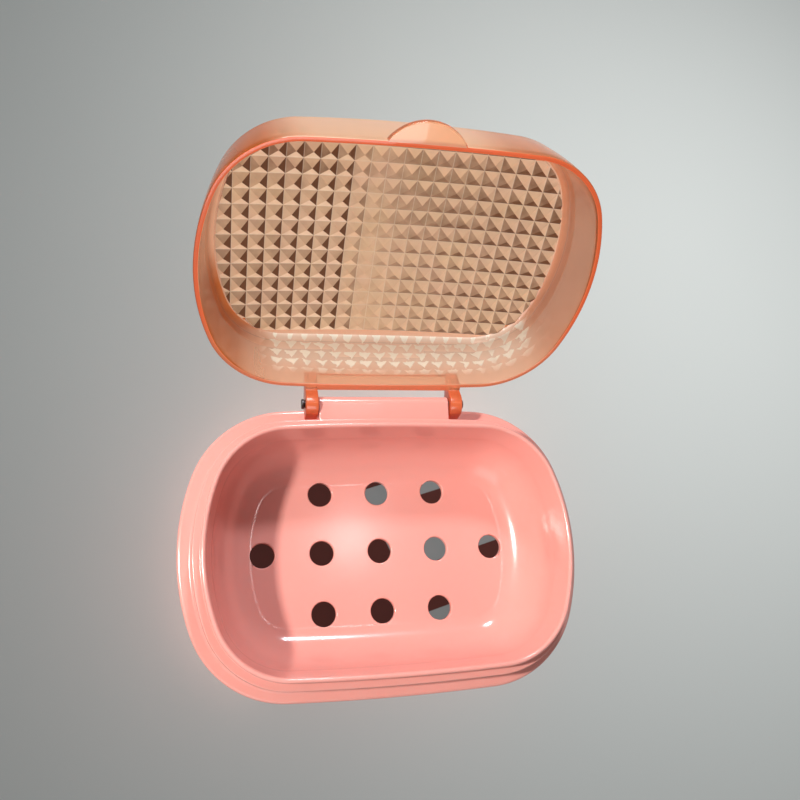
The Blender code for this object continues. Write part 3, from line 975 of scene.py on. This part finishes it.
def back_pad(scene):
    """A thin pad that stiffens the back wall between the lugs."""
    lid = scene.soap_lid
    back = mouth_middle(scene.soap_plan) + lid_half_depth(scene)
    rim = lid_rim_height(scene)
    corners = ((back - lid.wall / 2, 0), (back + lid.pad_wall, 0),
               (back + lid.pad_wall, lid.pad_height), (back - lid.wall / 2, lid.pad_height))
    start = -lid.lug_inner - lid.lug_wall / 2
    points = [(start, y, rim + z) for y, z in corners]
    return extruded_profile("pad", points, (-2 * start, 0, 0))


def smooth_step(low, high, value):
    share = min(max((value - low) / (high - low), 0.0), 1.0)
    return share * share * (3 - 2 * share)


def within(points, x, y):
    """Whether a place lies inside a closed outline."""
    inside = False
    for here, there in zip(points, points[1:] + points[:1]):
        if (here.y > y) != (there.y > y):
            cut = here.x + (y - here.y) * (there.x - here.x) / (there.y - here.y)
            if x < cut:
                inside = not inside
    return inside


def facet_painted_shade(scene, normal, place):
    """Painted shade on one side of a pyramid, below zero painted light, from the way it faces and
    its place in the panel.
    """
    slope = math.hypot(normal.x, normal.y)
    sides = [max(part, 0.0) / slope for part in (normal.x, -normal.x, normal.y, -normal.y)]
    east, west, hinge_side, tab_side = sides
    y = place.y - relief_middle(scene)
    # The half towards the tab, the rows at the tab and the right end have painted shade of their
    # own
    band = place.x - BAND_X + y * BAND_TILT
    far = smooth_step(0.004, -0.006, y)
    top_rows = smooth_step(-0.010, -0.022, y)
    deep = smooth_step(0.005, 0.040, place.x)
    left = sum(side * tone for side, tone in zip(sides, LEFT_TONES))
    left += west * 0.5 * top_rows - tab_side * 0.16 * far
    right = sum(side * tone for side, tone in zip(sides, RIGHT_TONES))
    right += (west + hinge_side) * 0.12 * deep + west * 0.1 * far + east * 0.55 * far * (1 - deep)
    return (left * smooth_step(BAND_HALF, -BAND_HALF, band)
            + right * smooth_step(-BAND_HALF, BAND_HALF * 2, band))


def painted_wall_marks(normal, x, y, inner):
    """Painted shade and reflection, painted light and painted spots of light on the lid's wall at a
    place measured from the mouth's middle.
    """
    slope = max(math.hypot(normal.x, normal.y), 0.001)
    # How far the wall faces the hinge, or below zero the front
    turned = normal.y / slope
    # Outside: painted reflection of the rim at the corners and ends of the front wall, and painted
    # light in its middle
    if not inner:
        corner = smooth_step(-0.2, -0.5, turned) * smooth_step(-0.98, -0.8, turned)
        front = smooth_step(-0.6, -0.98, turned)
        ends = max(smooth_step(*FRONT_LEFT, x), 0.8 * smooth_step(*FRONT_RIGHT, x))
        return 0.8 * corner + 0.9 * front * ends, front * (1 - ends), 0.0
    # Inside: painted shade on the side walls, and painted light on the left wall and on the hinge
    # wall
    side = smooth_step(0.35, 0.9, abs(normal.x) / slope)
    left = smooth_step(0.0, -0.02, x)
    left_low = left * smooth_step(0.0, 0.015, y)
    spark = smooth_step(0.25, 0.85, -turned) * smooth_step(*SPARK_LEFT, x) if 0 < y else 0.0
    stain = side * (0.84 - 0.24 * left + left_low) * (1 - 0.6 * spark)
    return stain, 0.6 * left * side * (1 - left_low), spark


def mark_lid(scene, obj):
    """Stores on the faces and corners of the closed lid what its plastic needs to know, with where
    it gets painted glow, shade, light and reflection.
    """
    lid = scene.soap_lid
    plan = scene.soap_plan
    rim = lid_rim_height(scene)
    middle = mouth_middle(plan)
    front = middle - lid_half_depth(scene)
    back = middle + lid_half_depth(scene)
    panel = outline(plan, -lid.panel_inset)
    faces = {"glow": [], "tone": [], "relief": [], "inside": []}
    corners = {"stain": [], "milk": [], "spark": []}
    for face in obj.data.polygons:
        normal = face.normal
        x, y, z = face.center
        steep = 0.3 < math.hypot(normal.x, normal.y)
        high = rim + lid.height * 0.6 < z
        edge = normal.z < -0.95 and z < rim + 2 * MARK_SLACK and front < y < back
        lug = back + MARK_SLACK / 2 < y and lid.lug_inner - MARK_SLACK < abs(x)
        tab = y < front - MARK_SLACK and z < rim + 2 * lid.tab_wall
        tab_edge = tab and abs(normal.z) < 0.6
        facet = normal.z < -0.2 and steep and high and within(panel, x, y - middle)
        inner = facet or (normal.x * x + normal.y * (y - middle) < 0 and y < back)
        roof_edge = high and normal.z < -0.15 and not facet
        # Painted glow on the rim, fading towards the hinge, on the lugs and on the tab's edge
        rim_glow = RIM_GLOW - HINGE_LOSS * smooth_step(0.01, 0.03, y - middle)
        faces["glow"].append(rim_glow if edge else LUG_GLOW if lug else TAB_GLOW * tab_edge)
        faces["tone"].append(facet_painted_shade(scene, normal, face.center) if facet else 0.0)
        faces["relief"].append(float(facet))
        faces["inside"].append(float(inner) + float(inner and roof_edge))
        for number in face.vertices:
            vert = obj.data.vertices[number]
            cloud = (0.0, 0.0, 0.0)
            # Painted light on the tab's flat faces
            if tab:
                cloud = (0.0, 0.0 if tab_edge else 0.4, 0.0)
            elif steep and not facet and not lug:
                cloud = painted_wall_marks(vert.normal, vert.co.x, vert.co.y - middle, inner)
            for values, amount in zip(corners.values(), cloud):
                values.append(amount)
    for marks, domain in ((faces, 'FACE'), (corners, 'CORNER')):
        for name, values in marks.items():
            layer = obj.data.attributes.new(name, 'FLOAT', domain)
            layer.data.foreach_set("value", values)


class OBJECT_OT_soap_lid(bpy.types.Operator):
    """Model the clear lid with its pyramids, thumb tab and lugs, opened to its stop"""
    bl_idname = "object.soap_lid"
    bl_label = "Lid"

    def execute(self, context):
        scene = context.scene
        lid = scene.soap_lid
        outer = lid_skin(scene, lid.reach, lid.edge, 0.0, 1)
        inner = lid_skin(scene, lid.reach - lid.wall, lid.edge - lid.wall, lid.roof_wall, -1)
        obj = loft("lid_shell", outer[::-1] + inner)
        combine(obj, pyramid_relief(scene), 'UNION')
        combine(obj, thumb_tab(scene), 'UNION')
        combine(obj, back_pad(scene), 'UNION')
        for start in (-lid.lug_inner - lid.lug_wall, lid.lug_inner):
            combine(obj, lid_lug(scene, start), 'UNION')
            bore(obj, lid.bore, LUG_CUT, start + lid.lug_wall / 2)
        mark_lid(scene, obj)
        edit(obj)
        bpy.ops.mesh.select_all(action='SELECT')
        bpy.ops.transform.rotate(value=LID_TURN, orient_axis='X',
                                 center_override=(0, HINGE_Y, HINGE_Z))
        bpy.ops.object.mode_set(mode='OBJECT')
        finish_piece(obj, peach_plastic(scene), "lid", "lid")
        return {'FINISHED'}


# Pins


class OBJECT_OT_soap_pins(bpy.types.Operator):
    """Model the two headed hinge pins"""
    bl_idname = "object.soap_pins"
    bl_label = "Hinge Pins"

    def execute(self, context):
        pins = context.scene.soap_pins
        steel = dark_steel(context.scene.soap_finishes)
        for node, side in (("hinge_pin_left", -1), ("hinge_pin_right", 1)):
            low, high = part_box(node)
            inner, outer = (low.x, high.x) if side > 0 else (high.x, low.x)
            obj = cylinder(node + "_finish", pins.radius, abs(outer - inner) - pins.head,
                           ((inner + outer - side * pins.head) / 2, HINGE_Y, HINGE_Z), 'X', 48)
            edit(obj)
            select_parts(obj, 'FACE', lambda face: face.normal.x * side > 0.9)
            bpy.ops.mesh.inset(thickness=0.0, depth=0.0)
            grow = pins.head_radius / pins.radius
            bpy.ops.transform.resize(value=(1, grow, grow))
            bpy.ops.mesh.extrude_region_move(
                TRANSFORM_OT_translate={"value": (side * pins.head, 0, 0)})
            bpy.ops.mesh.select_mode(type='VERT')
            end_edit()
            round_edges(obj, PIN_EDGE, 4, 40)
            finish_piece(obj, steel, "base", node)
        return {'FINISHED'}


# Stage


CAMERA_PLACE = (-0.04733, -0.04983, 0.23362)
CAMERA_RIGHT = (0.97272, -0.06189, 0.22355)
CAMERA_UP = (-0.00343, 0.9598, 0.28067)
STUDIO_COLOUR = (0.80, 0.82, 0.82, 1)
STUDIO_STRENGTH = 0.14

# The lamps: place, target, width, power in watts and, for some, tint
LAMPS = {
    "key": ((-0.74, 0.02, 0.82), (0, -0.02, 0.02), 0.07, 12.0, (1.0, 0.97, 0.93)),
    "front": ((-0.10, -0.80, 0.55), (0, 0.05, 0.04), 0.7, 9.0),
    "above": ((-0.10, 0.50, 0.90), (0, 0.06, 0.06), 0.4, 11.0),
    "back": ((0.10, 0.80, 0.80), (0, -0.06, 0.02), 0.12, 7.0, (0.85, 0.92, 1.0)),
    "ceiling": ((0.17, 0.09, 1.05), (0, -0.03, 0.0), 0.07, 0.2),
    "side": ((-0.30, -0.80, 0.55), (0, 0.0, 0.02), 0.7, 2.4),
    "pool": ((0.12, 0.08, 0.28), (0.12, 0.08, 0.0), 0.1, 0.75),
}

# What a lamp lights (receiver) or what shades it (blocker): only these things, or all but these
LAMP_LINKS = (
    ("key", "receiver", 'EXCLUDE', ("floor", "floor_under", "lid_shell")),
    ("ceiling", "receiver", 'EXCLUDE', ("floor",)),
    ("back", "receiver", 'EXCLUDE', ("floor", "lid_shell")),
    ("back", "blocker", 'EXCLUDE', ("lid_shell",)),
    ("pool", "receiver", 'INCLUDE', ("floor", "floor_under")),
    ("front", "receiver", 'INCLUDE', ("lid_shell",)),
    ("above", "receiver", 'INCLUDE', ("lid_shell",)),
    ("side", "receiver", 'INCLUDE', ("tray",)),
)


def area_light(name, place, target, size, power, tint=(1, 1, 1)):
    """A soft square lamp that points at the target."""
    deselect()
    bpy.ops.object.light_add(type='AREA', location=place)
    lamp = bpy.context.object
    lamp.name = name
    lamp.data.shape = 'SQUARE'
    lamp.data.size = size
    lamp.data.energy = power
    lamp.data.color = tint
    lamp.visible_camera = False
    way = Vector(target) - Vector(place)
    lamp.rotation_euler = way.to_track_quat('-Z', 'Y').to_euler()


def link_lamp(name, part, state, things):
    """Says what a lamp lights (part "receiver") or what shades it (part "blocker")."""
    chosen = bpy.data.collections.new(name + "_" + part)
    for thing in things:
        chosen.objects.link(bpy.data.objects[thing])
    for entry in chosen.collection_objects:
        entry.light_linking.link_state = state
    setattr(bpy.data.objects[name].light_linking, part + "_collection", chosen)


def place_camera(scene):
    """Puts the camera where the photograph was taken from."""
    bpy.ops.object.camera_add()
    camera = bpy.context.object
    camera.data.lens = scene.soap_stage.lens
    camera.data.sensor_width = 36.0
    camera.data.clip_start = 0.01
    right = Vector(CAMERA_RIGHT).normalized()
    back = right.cross(Vector(CAMERA_UP)).normalized()
    turn = Matrix((right, back.cross(right), back)).transposed().to_4x4()
    camera.matrix_world = Matrix.Translation(CAMERA_PLACE) @ turn
    scene.camera = camera


class OBJECT_OT_soap_stage(bpy.types.Operator):
    """Set the pale floor, the soft lights and the camera"""
    bl_idname = "object.soap_stage"
    bl_label = "Stage"

    def execute(self, context):
        scene = context.scene
        stage = scene.soap_stage
        deselect()
        bpy.ops.mesh.primitive_plane_add(size=stage.floor, location=(0, 0, FLOOR_LEVEL))
        floor = bpy.context.object
        floor.name = "floor"
        bpy.ops.object.transform_apply()
        floor.data.materials.append(floor_paint(stage))
        # A thin disc under the tray that carries the painted shadow and painted stripes of light
        under = cylinder("floor_under", 1.0, UNDER_WALL, (0, 0, 0), vertices=96)
        activate(under)
        plan = scene.soap_plan
        bpy.ops.transform.resize(value=(plan.half_width, plan.half_depth, 1))
        bpy.ops.transform.translate(value=(0, base_middle(plan), UNDER_LEVEL))
        bpy.ops.object.transform_apply()
        under.data.materials.append(shade_paint(stage))
        for name, lamp in LAMPS.items():
            area_light(name, *lamp)
        bpy.data.objects["pool"].data.use_shadow = False
        for link in LAMP_LINKS:
            link_lamp(*link)
        scene.world = bpy.data.worlds.new("studio")
        scene.world.use_nodes = True
        background = scene.world.node_tree.nodes["Background"]
        background.inputs["Color"].default_value = STUDIO_COLOUR
        background.inputs["Strength"].default_value = STUDIO_STRENGTH
        scene.view_settings.view_transform = 'Standard'
        place_camera(scene)
        return {'FINISHED'}


class VIEW3D_PT_soap_box(bpy.types.Panel):
    """Sizes, colours and pieces of the soap box"""
    bl_label = "Soap Box"
    bl_space_type = 'VIEW_3D'
    bl_region_type = 'UI'
    bl_category = "Soap Box"

    def draw(self, context):
        layout = self.layout
        for operator in OPERATORS:
            layout.operator(operator.bl_idname)
        for name, group in GROUPS.items():
            column = layout.column(align=True)
            column.label(text=group.__doc__)
            for key in group.__annotations__:
                column.prop(getattr(context.scene, name), key,
                            text=key.replace("_", " ").capitalize())


OPERATORS = (OBJECT_OT_soap_tray, OBJECT_OT_soap_lid, OBJECT_OT_soap_pins, OBJECT_OT_soap_stage)


def register():
    for name, group in GROUPS.items():
        bpy.utils.register_class(group)
        setattr(bpy.types.Scene, name, PointerProperty(type=group))
    for cls in OPERATORS + (VIEW3D_PT_soap_box,):
        bpy.utils.register_class(cls)


def unregister():
    for cls in reversed(OPERATORS + (VIEW3D_PT_soap_box,)):
        bpy.utils.unregister_class(cls)
    for name, group in reversed(GROUPS.items()):
        delattr(bpy.types.Scene, name)
        bpy.utils.unregister_class(group)


def main():
    register()
    bpy.ops.object.soap_tray()
    bpy.ops.object.soap_lid()
    bpy.ops.object.soap_pins()
    bpy.ops.object.soap_stage()


if __name__ == "__main__":
    main()
